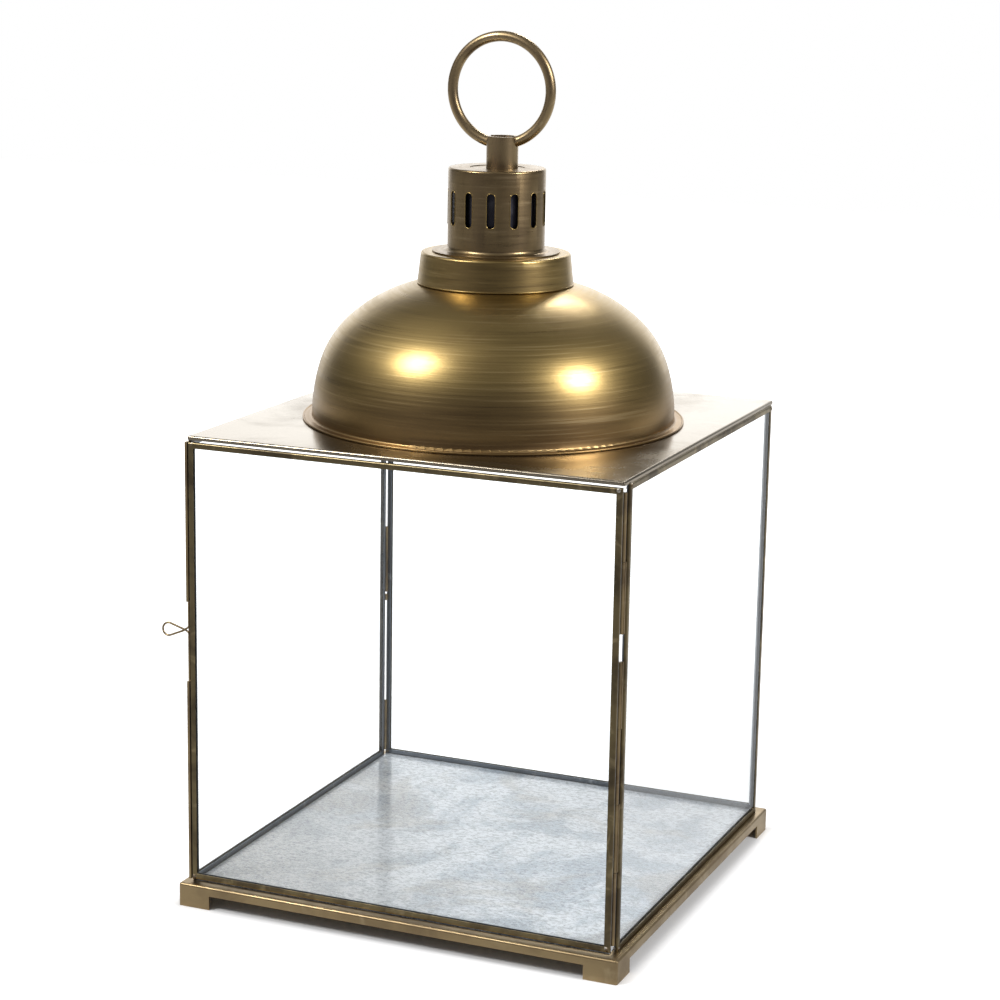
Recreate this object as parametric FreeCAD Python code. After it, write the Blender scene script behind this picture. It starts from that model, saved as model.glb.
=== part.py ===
import FreeCAD, Part
import math
import os

# A square-plan candle lantern of brass sheet, with one hinged glass door.
# Millimetres. +Z is up, the origin is the middle of the base on the standing plane,
# the door is the -Y face and its hinge line stands at the +X, -Y corner.

V = FreeCAD.Vector
X_AXIS = V(1, 0, 0)
Y_AXIS = V(0, 1, 0)
Z_AXIS = V(0, 0, 1)

# ---- driving dimensions ----

# Base: a shallow tray standing upside down on four corner feet.
BASE_WIDTH = 300.0
BASE_HEIGHT = 15.3
BASE_SHEET = 1.0
BASE_BEND_RADIUS = 1.5
FOOT_WIDTH = 22.0
SKIRT_GAP_HEIGHT = 9.3
FLOOR_SHEET = 0.8
FLOOR_SIDE_CLEARANCE = 0.6

# Glazed panels: panes held in U-section strip, mitred at the corners.
PANEL_SETBACK = 5.0
CAME_WIDTH = 3.8
CAME_DEPTH = 3.0
CAME_BACK_RADIUS = 1.2
CAME_LIP_RADIUS = 0.2
CAME_SLOT_DEPTH = 2.6
GLASS_THICKNESS = 2.0
GLASS_FACE_CLEARANCE = 0.05
GLASS_EDGE_CLEARANCE = 0.3
WALL_PANEL_HEIGHT = 289.0
REAR_CORNER_GAP = 2.4
BACK_PANEL_INSET = 2.1
HINGE_CORNER_GAP = 5.4
JAMB_CORNER_GAP = 0.8

# Door, in front of the side panels.
DOOR_HINGE_INSET = 2.0
DOOR_FREE_INSET = 1.8
DOOR_BOTTOM_CLEARANCE = 2.0
DOOR_TOP_CLEARANCE = 1.2

# Hinge barrel: short tubes on two pins, between the door and the right panel.
# A rise is measured from the door's bottom and a drop from its top.
HINGE_SIDE_OFFSET = 0.6
HINGE_BACK_OFFSET = 3.1
KNUCKLE_DIAMETER = 2.6
HINGE_PIN_DIAMETER = 1.4
PIN_RUNNING_CLEARANCE = 0.05
KNUCKLE_END_CLEARANCE = 0.3
KNUCKLE_WEB_THICKNESS = 0.9
KNUCKLE_BOTTOM_RISE = 2.9
LOWER_DOOR_KNUCKLE_RISE = 49.4
LOWER_WALL_KNUCKLE_RISE = 92.1
MIDDLE_DOOR_KNUCKLE_RISE = 139.2
HINGE_PIN_GAP = 17.0
UPPER_WALL_KNUCKLE_BOTTOM_DROP = 88.5
UPPER_WALL_KNUCKLE_DROP = 45.2
UPPER_DOOR_KNUCKLE_DROP = 3.6

# Strip beside the free edge of the door, notched for the pull.
JAMB_THICKNESS = 1.6
JAMB_STAND_OUT = 0.2
JAMB_SEAT_DEPTH = 0.6
JAMB_NOTCH_DEPTH = 2.5
JAMB_NOTCH_BOTTOM_RISE = 131.7
JAMB_NOTCH_TOP_RISE = 183.6

# Pull: one wire with two tails on the door's edge and a crossed loop.
PULL_WIRE_DIAMETER = 1.3
PULL_SEAT_ANGLE = 15.7
PULL_TAIL_BOTTOM_RISE = 132.7
PULL_LOWER_BEND_RISE = 163.7
PULL_UPPER_BEND_RISE = 167.3
PULL_TAIL_TOP_RISE = 183.3
PULL_BEND_RADIUS = 1.4
PULL_CROSS_REACH = 3.2
PULL_CROSS_RISE = 164.8
PULL_CROSS_GAP = 0.45
PULL_CROSS_RADIUS = 3.0
PULL_LOOP_REACH = 14.7
PULL_LOOP_RISE = 164.2
PULL_LOOP_RADIUS = 4.0
PULL_LOOP_LEAN = 0.3

# Rear corners: short tubes soldered between the two neighbouring stiles.
# A rise is measured from the base and a drop from the top of the walls.
REAR_TUBE_BORE = 1.4
REAR_TUBE_INSET = 2.6
REAR_LOWER_TUBE_BOTTOM_RISE = 3.8
REAR_LOWER_TUBE_TOP_RISE = 41.8
REAR_SOLDER_BOTTOM_RISE = 118.3
REAR_SOLDER_TOP_RISE = 122.8
REAR_MIDDLE_TUBE_BOTTOM_RISE = 124.8
REAR_MIDDLE_TUBE_TOP_RISE = 173.4
REAR_UPPER_TUBE_BOTTOM_DROP = 49.3
REAR_UPPER_TUBE_TOP_DROP = 5.3
REAR_WEB_THICKNESS = 0.9

# Roof: a square sheet with its edge turned down on to the panels.
ROOF_SETBACK = 0.9
ROOF_LIP_HEIGHT = 2.6
ROOF_SHEET = 0.9
ROOF_BEND_RADIUS = 1.3
ROOF_VENT_RADIUS = 100.0

# Dome: spun sheet, three tangent arcs above a beaded foot flange.
DOME_SHEET = 1.0
DOME_WALL_RADIUS = 116.8
DOME_FLANGE_RADIUS = 122.9
DOME_BEAD_RADIUS = 0.75
DOME_BEAD_NECK = 0.6
DOME_FOOT_FILLET = 1.6
DOME_LOWER_ARC_RADIUS = 111.0
DOME_LOWER_ARC_ANGLE = 17.4
DOME_SHOULDER_ARC_RADIUS = 64.0
DOME_SHOULDER_ARC_ANGLE = 30.1
DOME_CROWN_ARC_RADIUS = 98.0
DOME_NECK_RADIUS = 42.0

# Collar: an inverted cup on the crown of the dome.
COLLAR_SHEET = 1.0
COLLAR_BOTTOM_RADIUS = 49.8
COLLAR_TOP_RADIUS = 47.85
COLLAR_HEIGHT = 20.1
COLLAR_SHOULDER_RADIUS = 1.6
COLLAR_RIM_RADIUS = 0.5
COLLAR_HOLE_RADIUS = 34.0

# Chimney: a capped tube with a ring of upright slots.
CHIMNEY_SHEET = 1.0
CHIMNEY_RADIUS = 31.0
CHIMNEY_HEIGHT = 53.5
CHIMNEY_FLANGE_RADIUS = 40.7
CHIMNEY_FLANGE_FILLET = 2.6
CHIMNEY_TOP_RADIUS = 1.4
CAP_RECESS_RADIUS = 17.4
CAP_RECESS_DEPTH = 0.4
SLOT_COUNT = 13
SLOT_WIDTH = 5.5
SLOT_HEIGHT = 22.2
SLOT_BOTTOM_ABOVE_FLANGE = 16.6
SLOT_START_ANGLE = -73.8

# Baffle: a flanged sleeve behind the slots, soldered under the collar.
BAFFLE_SHEET = 0.8
BAFFLE_SIDE_CLEARANCE = 2.0
BAFFLE_TOP_CLEARANCE = 4.0
BAFFLE_FLANGE_OVERLAP = 6.0

# Stem and carrying ring, a little to one side of the chimney's axis.
STEM_DIAMETER = 20.2
STEM_BORE = 15.6
STEM_HEIGHT = 20.2
STEM_OFFSET_X = 3.3
RING_CENTRE_RADIUS = 33.4
RING_ROD_DIAMETER = 6.6
RING_OFFSET_X = 2.0
RING_DROP_INTO_STEM = 4.8
RING_SEAT_CLEARANCE = 0.05

# ---- places worked out from them ----

BASE_HALF = BASE_WIDTH / 2
PANEL_FACE = BASE_HALF - PANEL_SETBACK
PANEL_BACK = PANEL_FACE - CAME_DEPTH
ROOF_HALF = PANEL_FACE - ROOF_SETBACK
WALL_TOP_Z = BASE_HEIGHT + WALL_PANEL_HEIGHT
ROOF_TOP_Z = WALL_TOP_Z + ROOF_LIP_HEIGHT
DOOR_BOTTOM_Z = BASE_HEIGHT + DOOR_BOTTOM_CLEARANCE
DOOR_TOP_Z = WALL_TOP_Z - DOOR_TOP_CLEARANCE
DOOR_HINGE_X = PANEL_FACE - DOOR_HINGE_INSET
DOOR_FREE_X = -PANEL_FACE + DOOR_FREE_INSET
SIDE_REAR_Y = PANEL_BACK - REAR_CORNER_GAP
RIGHT_FRONT_Y = -PANEL_BACK + HINGE_CORNER_GAP
LEFT_FRONT_Y = -PANEL_BACK + JAMB_CORNER_GAP
BACK_HALF_WIDTH = PANEL_FACE - BACK_PANEL_INSET
HINGE_X = DOOR_HINGE_X - HINGE_SIDE_OFFSET
HINGE_Y = -PANEL_BACK + HINGE_BACK_OFFSET
KNUCKLE_BOTTOM_Z = DOOR_BOTTOM_Z + KNUCKLE_BOTTOM_RISE
LOWER_DOOR_KNUCKLE_TOP_Z = DOOR_BOTTOM_Z + LOWER_DOOR_KNUCKLE_RISE
LOWER_WALL_KNUCKLE_TOP_Z = DOOR_BOTTOM_Z + LOWER_WALL_KNUCKLE_RISE
MIDDLE_DOOR_KNUCKLE_TOP_Z = DOOR_BOTTOM_Z + MIDDLE_DOOR_KNUCKLE_RISE
UPPER_WALL_KNUCKLE_BOTTOM_Z = DOOR_TOP_Z - UPPER_WALL_KNUCKLE_BOTTOM_DROP
MIDDLE_WALL_KNUCKLE_TOP_Z = UPPER_WALL_KNUCKLE_BOTTOM_Z - HINGE_PIN_GAP
UPPER_WALL_KNUCKLE_TOP_Z = DOOR_TOP_Z - UPPER_WALL_KNUCKLE_DROP
UPPER_DOOR_KNUCKLE_TOP_Z = DOOR_TOP_Z - UPPER_DOOR_KNUCKLE_DROP
CAME_BACK_THICKNESS = CAME_WIDTH - CAME_SLOT_DEPTH
CAME_LIP_THICKNESS = (CAME_DEPTH - GLASS_THICKNESS) / 2 - GLASS_FACE_CLEARANCE


def box(x0, y0, z0, x1, y1, z1):
    """Box between two opposite corners."""
    return Part.makeBox(x1 - x0, y1 - y0, z1 - z0, V(x0, y0, z0))


def outline_face(points):
    """Flat face inside a closed outline: lines, or arcs where a (through, end) pair is given."""
    edges = []
    here = points[0]
    for step in points[1:]:
        if isinstance(step, tuple):
            edges.append(Part.Arc(here, step[0], step[1]).toShape())
            here = step[1]
        else:
            edges.append(Part.makeLine(here, step))
            here = step
    if here.distanceToPoint(points[0]) > 1e-6:
        edges.append(Part.makeLine(here, points[0]))
    return Part.Face(Part.Wire(edges))


def on_arc(centre_r, centre_z, radius, degrees):
    """Point of a profile arc in the XZ plane, 0 degrees pointing outwards."""
    turn = math.radians(degrees)
    return V(centre_r + radius * math.cos(turn), 0, centre_z + radius * math.sin(turn))


def spun(points):
    """Solid of revolution about the Z axis from an outline in the XZ plane."""
    return outline_face(points).revolve(V(0, 0, 0), Z_AXIS, 360)


def tube(x, y, z0, z1, outer_diameter, bore_diameter):
    """Upright tube."""
    outside = Part.makeCylinder(outer_diameter / 2, z1 - z0, V(x, y, z0))
    return outside.cut(Part.makeCylinder(bore_diameter / 2, z1 - z0, V(x, y, z0)))


def folded_tray(half_width, z_bottom, z_top, sheet, bend_radius):
    """Square sheet with its four edges folded down and rounded bends."""
    outside = box(-half_width, -half_width, z_bottom, half_width, half_width, z_top)
    top_edges = [e for e in outside.Edges if min(v.Z for v in e.Vertexes) > z_top - sheet / 2]
    corner_edges = [e for e in outside.Edges if abs(e.Vertexes[0].Z - e.Vertexes[-1].Z) > sheet / 2]
    rounded = outside.makeFillet(bend_radius, top_edges + corner_edges)
    inner_half = half_width - sheet
    inside = box(-inner_half, -inner_half, z_bottom - sheet, inner_half, inner_half, z_top - sheet)
    return rounded.cut(inside)


# ---- base ----

def base_plinth():
    """Tray with its skirt cut away between the corner feet on all four sides."""
    tray = folded_tray(BASE_HALF, 0, BASE_HEIGHT, BASE_SHEET, BASE_BEND_RADIUS)
    gap_half = BASE_HALF - FOOT_WIDTH
    reach = BASE_HALF + BASE_SHEET
    along_x = box(-gap_half, -reach, -BASE_SHEET, gap_half, reach, SKIRT_GAP_HEIGHT)
    along_y = box(-reach, -gap_half, -BASE_SHEET, reach, gap_half, SKIRT_GAP_HEIGHT)
    return tray.cut(along_x).cut(along_y)


def floor_plate():
    """Loose sheet on the base, inside the four frames."""
    half = PANEL_BACK - FLOOR_SIDE_CLEARANCE
    return box(-half, -half, BASE_HEIGHT, half, half, BASE_HEIGHT + FLOOR_SHEET)


# ---- glazed panels ----

def came_section():
    """U section in the YZ plane: back on Y = 0, slot open towards +Y, depth along +Z."""
    back = CAME_BACK_RADIUS
    lip = CAME_LIP_RADIUS
    back_mid = back * (1 - math.sqrt(0.5))
    lip_mid = lip * (1 - math.sqrt(0.5))
    slot_half = GLASS_THICKNESS / 2 + GLASS_FACE_CLEARANCE
    slot_low = CAME_DEPTH / 2 - slot_half
    slot_high = CAME_DEPTH / 2 + slot_half
    slot_floor = CAME_WIDTH - CAME_SLOT_DEPTH
    return outline_face([
        V(0, 0, back),
        (V(0, back_mid, back_mid), V(0, back, 0)),
        V(0, CAME_WIDTH - lip, 0),
        (V(0, CAME_WIDTH - lip_mid, lip_mid), V(0, CAME_WIDTH, lip)),
        V(0, CAME_WIDTH, slot_low),
        V(0, slot_floor, slot_low),
        V(0, slot_floor, slot_high),
        V(0, CAME_WIDTH, slot_high),
        V(0, CAME_WIDTH, CAME_DEPTH - lip),
        (V(0, CAME_WIDTH - lip_mid, CAME_DEPTH - lip_mid), V(0, CAME_WIDTH - lip, CAME_DEPTH)),
        V(0, back, CAME_DEPTH),
        (V(0, back_mid, CAME_DEPTH - back_mid), V(0, 0, CAME_DEPTH - back)),
    ])


def came_bar(length):
    """Strip along +X with both ends mitred."""
    strip = came_section().extrude(V(length, 0, 0))
    mitre = outline_face([
        V(0, 0, 0),
        V(length, 0, 0),
        V(length - CAME_WIDTH, CAME_WIDTH, 0),
        V(CAME_WIDTH, CAME_WIDTH, 0),
    ])
    return strip.common(mitre.extrude(V(0, 0, CAME_DEPTH)))


def turned(shape, degrees, shift):
    """Copy turned in the panel's plane, then shifted."""
    copy = shape.copy()
    copy.rotate(V(0, 0, 0), Z_AXIS, degrees)
    copy.translate(shift)
    return copy


def stood_up(shape, along, origin):
    """Copy with its X axis laid along the wall, its Y axis upright and its corner at origin."""
    copy = shape.copy()
    stand = FreeCAD.Placement(origin, FreeCAD.Rotation(along, Z_AXIS, along.cross(Z_AXIS), "XYZ"))
    copy.Placement = stand.multiply(copy.Placement)
    return copy


def glazed_panel(width, height, along, origin):
    """Two rails, two stiles and a pane: bottom, top, near and far end along the wall, glass."""
    rail = came_bar(width)
    stile = came_bar(height)
    edge = CAME_WIDTH - CAME_SLOT_DEPTH + GLASS_EDGE_CLEARANCE
    pane_z = CAME_DEPTH / 2 - GLASS_THICKNESS / 2
    pane = box(edge, edge, pane_z, width - edge, height - edge, pane_z + GLASS_THICKNESS)
    flat = (
        rail,
        turned(rail, 180, V(width, height, 0)),
        turned(stile, -90, V(0, height, 0)),
        turned(stile, 90, V(width, 0, 0)),
        pane,
    )
    return [stood_up(piece, along, origin) for piece in flat]


def door_panel():
    """Door frame and pane, its face flush with the other panels."""
    width = DOOR_HINGE_X - DOOR_FREE_X
    height = DOOR_TOP_Z - DOOR_BOTTOM_Z
    return glazed_panel(width, height, X_AXIS, V(DOOR_FREE_X, -PANEL_BACK, DOOR_BOTTOM_Z))


def right_panel():
    """Right wall, set back at the front for the hinge barrel."""
    width = SIDE_REAR_Y - RIGHT_FRONT_Y
    return glazed_panel(width, WALL_PANEL_HEIGHT, Y_AXIS, V(PANEL_BACK, RIGHT_FRONT_Y, BASE_HEIGHT))


def left_panel():
    """Left wall, its front stile just behind the door."""
    width = SIDE_REAR_Y - LEFT_FRONT_Y
    return glazed_panel(width, WALL_PANEL_HEIGHT, Y_AXIS, V(-PANEL_FACE, LEFT_FRONT_Y, BASE_HEIGHT))


def back_panel():
    """Rear wall."""
    width = 2 * BACK_HALF_WIDTH
    return glazed_panel(width, WALL_PANEL_HEIGHT, X_AXIS, V(-BACK_HALF_WIDTH, PANEL_FACE, BASE_HEIGHT))


# ---- hinge ----

def door_knuckle(z0, z1, door_stile):
    """Tube that turns on the pin, with a solder web to the back of the door's stile."""
    bore = HINGE_PIN_DIAMETER + 2 * PIN_RUNNING_CLEARANCE
    web_x1 = HINGE_X - bore / 2
    web = box(web_x1 - KNUCKLE_WEB_THICKNESS, -PANEL_BACK, z0, web_x1, HINGE_Y, z1)
    solid = Part.makeCylinder(KNUCKLE_DIAMETER / 2, z1 - z0, V(HINGE_X, HINGE_Y, z0)).fuse(web)
    hole = Part.makeCylinder(bore / 2, z1 - z0, V(HINGE_X, HINGE_Y, z0))
    return solid.cut(hole).cut(door_stile).removeSplitter()


def wall_knuckle(z0, z1, wall_stile):
    """Tube fixed round the pin, with a solder web to the back of the right wall's stile."""
    web_x0 = HINGE_X + HINGE_PIN_DIAMETER / 2
    web_y1 = RIGHT_FRONT_Y + CAME_BACK_THICKNESS / 2
    web = box(web_x0, HINGE_Y, z0, web_x0 + KNUCKLE_WEB_THICKNESS, web_y1, z1)
    solid = Part.makeCylinder(KNUCKLE_DIAMETER / 2, z1 - z0, V(HINGE_X, HINGE_Y, z0)).fuse(web)
    hole = Part.makeCylinder(HINGE_PIN_DIAMETER / 2, z1 - z0, V(HINGE_X, HINGE_Y, z0))
    return solid.cut(hole).cut(wall_stile).removeSplitter()


def door_hinge_knuckles(door_stile):
    """Three tubes on the door, each short of its neighbours on the wall."""
    end = KNUCKLE_END_CLEARANCE
    spans = (
        (KNUCKLE_BOTTOM_Z, LOWER_DOOR_KNUCKLE_TOP_Z - end),
        (LOWER_WALL_KNUCKLE_TOP_Z + end, MIDDLE_DOOR_KNUCKLE_TOP_Z - end),
        (UPPER_WALL_KNUCKLE_TOP_Z + end, UPPER_DOOR_KNUCKLE_TOP_Z),
    )
    return Part.makeCompound([door_knuckle(z0, z1, door_stile) for z0, z1 in spans])


def right_hinge_knuckles(wall_stile):
    """Three tubes on the right wall."""
    spans = (
        (LOWER_DOOR_KNUCKLE_TOP_Z, LOWER_WALL_KNUCKLE_TOP_Z),
        (MIDDLE_DOOR_KNUCKLE_TOP_Z, MIDDLE_WALL_KNUCKLE_TOP_Z),
        (UPPER_WALL_KNUCKLE_BOTTOM_Z, UPPER_WALL_KNUCKLE_TOP_Z),
    )
    return Part.makeCompound([wall_knuckle(z0, z1, wall_stile) for z0, z1 in spans])


def hinge_pin(z0, z1):
    """Pin through a run of knuckles."""
    return Part.makeCylinder(HINGE_PIN_DIAMETER / 2, z1 - z0, V(HINGE_X, HINGE_Y, z0))


# ---- free edge of the door ----

def left_jamb_strip(wall_stile):
    """Upright strip beside the door's free edge, on the front of the left wall's stile."""
    x0 = -PANEL_FACE - JAMB_STAND_OUT
    x1 = x0 + JAMB_THICKNESS
    strip = box(x0, -PANEL_FACE, DOOR_BOTTOM_Z, x1, LEFT_FRONT_Y + JAMB_SEAT_DEPTH, DOOR_TOP_Z)
    notch_y1 = -PANEL_FACE + JAMB_NOTCH_DEPTH
    notch = box(x0, -PANEL_FACE, DOOR_BOTTOM_Z + JAMB_NOTCH_BOTTOM_RISE,
                x1, notch_y1, DOOR_BOTTOM_Z + JAMB_NOTCH_TOP_RISE)
    return strip.cut(notch).cut(wall_stile)


def rounded_route(points, radii):
    """Wire of straight runs through points, with a tangent arc of the given radius at each corner."""
    edges = []
    start = points[0]
    for corner, before, after, radius in zip(points[1:], points, points[2:], radii):
        to_before = (before - corner).normalize()
        to_after = (after - corner).normalize()
        half_angle = to_before.getAngle(to_after) / 2
        setback = radius / math.tan(half_angle)
        inwards = (to_before + to_after).normalize()
        arc_in = corner + to_before * setback
        arc_out = corner + to_after * setback
        arc_mid = corner + inwards * (radius / math.sin(half_angle) - radius)
        edges.append(Part.makeLine(start, arc_in))
        edges.append(Part.Arc(arc_in, arc_mid, arc_out).toShape())
        start = arc_out
    edges.append(Part.makeLine(start, points[-1]))
    return Part.Wire(edges)


def door_pull_wire():
    """Bent wire: a tail up the door's edge, a loop whose legs cross, and a tail down the edge."""
    seat = math.radians(PULL_SEAT_ANGLE)
    seat_reach = CAME_BACK_RADIUS + PULL_WIRE_DIAMETER / 2
    tail_x = DOOR_FREE_X + CAME_BACK_RADIUS - seat_reach * math.cos(seat)
    tail_y = -PANEL_FACE + CAME_BACK_RADIUS - seat_reach * math.sin(seat)
    cross_x = tail_x - PULL_CROSS_REACH
    loop_x = tail_x - PULL_LOOP_REACH
    far_x = loop_x - PULL_LOOP_RADIUS
    cross_shift = (PULL_WIRE_DIAMETER + PULL_CROSS_GAP) / 2
    tail_top_z = DOOR_BOTTOM_Z + PULL_TAIL_TOP_RISE
    cross_z = DOOR_BOTTOM_Z + PULL_CROSS_RISE
    loop_z = DOOR_BOTTOM_Z + PULL_LOOP_RISE
    reach = math.hypot(loop_x - cross_x, loop_z - cross_z)
    spread = math.asin(PULL_LOOP_RADIUS / reach)
    droop = math.atan2(loop_z - cross_z, cross_x - loop_x)
    low_z = cross_z + (cross_x - far_x) * math.tan(droop - spread)
    high_z = cross_z + (cross_x - far_x) * math.tan(droop + spread)
    route = rounded_route(
        [
            V(tail_x, tail_y, tail_top_z),
            V(tail_x, tail_y, DOOR_BOTTOM_Z + PULL_UPPER_BEND_RISE),
            V(cross_x, tail_y - cross_shift, cross_z),
            V(far_x, tail_y - PULL_LOOP_LEAN, low_z),
            V(far_x, tail_y + PULL_LOOP_LEAN, high_z),
            V(cross_x, tail_y + cross_shift, cross_z),
            V(tail_x, tail_y, DOOR_BOTTOM_Z + PULL_LOWER_BEND_RISE),
            V(tail_x, tail_y, DOOR_BOTTOM_Z + PULL_TAIL_BOTTOM_RISE),
        ],
        [
            PULL_BEND_RADIUS,
            PULL_CROSS_RADIUS,
            PULL_LOOP_RADIUS,
            PULL_LOOP_RADIUS,
            PULL_CROSS_RADIUS,
            PULL_BEND_RADIUS,
        ],
    )
    start = V(tail_x, tail_y, tail_top_z)
    section = Part.Wire(Part.makeCircle(PULL_WIRE_DIAMETER / 2, start, Z_AXIS))
    return route.makePipeShell([section], True, False)


# ---- rear corners ----

def rear_corner_tubes(side, side_stile, back_stile):
    """Tubes and a solder blob that close the gap between two stiles; side is -1 left, +1 right."""
    outer_diameter = REAR_CORNER_GAP
    x = side * (PANEL_FACE - REAR_TUBE_INSET)
    y = SIDE_REAR_Y + REAR_CORNER_GAP / 2
    outward_x = x + side * REAR_WEB_THICKNESS
    inward_x = x - side * REAR_WEB_THICKNESS
    wall_seat_y = SIDE_REAR_Y - CAME_BACK_THICKNESS / 2
    back_seat_y = PANEL_BACK + CAME_LIP_THICKNESS
    pieces = []
    spans = (
        (BASE_HEIGHT + REAR_LOWER_TUBE_BOTTOM_RISE, BASE_HEIGHT + REAR_LOWER_TUBE_TOP_RISE, REAR_TUBE_BORE),
        (BASE_HEIGHT + REAR_SOLDER_BOTTOM_RISE, BASE_HEIGHT + REAR_SOLDER_TOP_RISE, 0),
        (BASE_HEIGHT + REAR_MIDDLE_TUBE_BOTTOM_RISE, BASE_HEIGHT + REAR_MIDDLE_TUBE_TOP_RISE, REAR_TUBE_BORE),
        (WALL_TOP_Z - REAR_UPPER_TUBE_BOTTOM_DROP, WALL_TOP_Z - REAR_UPPER_TUBE_TOP_DROP, REAR_TUBE_BORE),
    )
    for z0, z1, bore in spans:
        solid = Part.makeCylinder(outer_diameter / 2, z1 - z0, V(x, y, z0))
        wall_web = box(min(x, outward_x), wall_seat_y, z0, max(x, outward_x), y, z1)
        back_web = box(min(x, inward_x), y, z0, max(x, inward_x), back_seat_y, z1)
        solid = solid.fuse(wall_web).fuse(back_web)
        if bore > 0:
            solid = solid.cut(Part.makeCylinder(bore / 2, z1 - z0, V(x, y, z0)))
        pieces.append(solid.cut(side_stile).cut(back_stile).removeSplitter())
    return Part.makeCompound(pieces)


# ---- roof and everything above it ----

def roof_plate():
    """Square sheet, its lip standing on the top rails, open under the dome."""
    tray = folded_tray(ROOF_HALF, WALL_TOP_Z, ROOF_TOP_Z, ROOF_SHEET, ROOF_BEND_RADIUS)
    return tray.cut(Part.makeCylinder(ROOF_VENT_RADIUS, ROOF_LIP_HEIGHT, V(0, 0, WALL_TOP_Z)))


def dome_arcs():
    """Centre R, centre Z, radius, start angle and end angle of the dome's three outer arcs."""
    arcs = []
    start = 0.0
    point_r = DOME_WALL_RADIUS
    point_z = ROOF_TOP_Z + DOME_SHEET + DOME_FOOT_FILLET
    shapes = (
        (DOME_LOWER_ARC_RADIUS, DOME_LOWER_ARC_ANGLE),
        (DOME_SHOULDER_ARC_RADIUS, DOME_SHOULDER_ARC_ANGLE),
        (DOME_CROWN_ARC_RADIUS, None),
    )
    for radius, sweep in shapes:
        turn = math.radians(start)
        centre_r = point_r - radius * math.cos(turn)
        centre_z = point_z - radius * math.sin(turn)
        if sweep is None:
            end = math.degrees(math.acos((DOME_NECK_RADIUS - centre_r) / radius))
        else:
            end = start + sweep
        arcs.append((centre_r, centre_z, radius, start, end))
        tip = on_arc(centre_r, centre_z, radius, end)
        point_r = tip.x
        point_z = tip.z
        start = end
    return arcs


def crown_height(radius_from_axis):
    """Height of the dome's outer face on its crown arc."""
    centre_r, centre_z, radius, start, end = dome_arcs()[-1]
    return centre_z + math.sqrt(radius ** 2 - (radius_from_axis - centre_r) ** 2)


def dome():
    """Spun dome with a beaded flange on the roof and an opening under the collar."""
    flange_top = ROOF_TOP_Z + DOME_SHEET
    bead_r = DOME_FLANGE_RADIUS - DOME_BEAD_RADIUS
    fillet = DOME_FOOT_FILLET
    fillet_mid = fillet * (1 - math.sqrt(0.5))
    arcs = dome_arcs()
    outline = [
        V(DOME_WALL_RADIUS - DOME_SHEET, 0, ROOF_TOP_Z),
        V(bead_r, 0, ROOF_TOP_Z),
        (V(DOME_FLANGE_RADIUS, 0, ROOF_TOP_Z + DOME_BEAD_RADIUS),
         V(bead_r, 0, ROOF_TOP_Z + 2 * DOME_BEAD_RADIUS)),
        V(bead_r - DOME_BEAD_NECK, 0, flange_top),
        V(DOME_WALL_RADIUS + fillet, 0, flange_top),
        (V(DOME_WALL_RADIUS + fillet_mid, 0, flange_top + fillet_mid),
         V(DOME_WALL_RADIUS, 0, flange_top + fillet)),
    ]
    for centre_r, centre_z, radius, start, end in arcs:
        outline.append((on_arc(centre_r, centre_z, radius, (start + end) / 2),
                        on_arc(centre_r, centre_z, radius, end)))
    centre_r, centre_z, radius, start, end = arcs[-1]
    outline.append(on_arc(centre_r, centre_z, radius - DOME_SHEET, end))
    for centre_r, centre_z, radius, start, end in reversed(arcs):
        inner = radius - DOME_SHEET
        outline.append((on_arc(centre_r, centre_z, inner, (start + end) / 2),
                        on_arc(centre_r, centre_z, inner, start)))
    return spun(outline)


def collar_bottom_z():
    """The collar's rim seats on the dome at its inner edge."""
    return crown_height(COLLAR_BOTTOM_RADIUS - COLLAR_SHEET)


def neck_collar():
    """Slightly tapered inverted cup with a rounded shoulder and a hole under the chimney."""
    bottom = collar_bottom_z()
    top = bottom + COLLAR_HEIGHT
    shoulder = COLLAR_SHOULDER_RADIUS
    shoulder_mid = shoulder * (1 - math.sqrt(0.5))
    rim = COLLAR_RIM_RADIUS
    inner_top_r = COLLAR_TOP_RADIUS - COLLAR_SHEET
    return spun([
        V(COLLAR_BOTTOM_RADIUS - COLLAR_SHEET, 0, bottom),
        V(COLLAR_BOTTOM_RADIUS, 0, bottom),
        (V(COLLAR_BOTTOM_RADIUS + rim, 0, bottom + rim), V(COLLAR_BOTTOM_RADIUS, 0, bottom + 2 * rim)),
        V(COLLAR_TOP_RADIUS, 0, top - shoulder),
        (V(COLLAR_TOP_RADIUS - shoulder_mid, 0, top - shoulder_mid),
         V(COLLAR_TOP_RADIUS - shoulder, 0, top)),
        V(COLLAR_HOLE_RADIUS, 0, top),
        V(COLLAR_HOLE_RADIUS, 0, top - COLLAR_SHEET),
        V(inner_top_r, 0, top - COLLAR_SHEET),
    ])


def slot_tool(z0):
    """Radial cutter with round ends for one chimney slot."""
    half = SLOT_WIDTH / 2
    low = z0 + half
    high = z0 + SLOT_HEIGHT - half
    start_x = CHIMNEY_RADIUS / 2
    face = outline_face([
        V(start_x, -half, low),
        (V(start_x, 0, z0), V(start_x, half, low)),
        V(start_x, half, high),
        (V(start_x, 0, z0 + SLOT_HEIGHT), V(start_x, -half, high)),
    ])
    return face.extrude(V(CHIMNEY_RADIUS, 0, 0))


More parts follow.
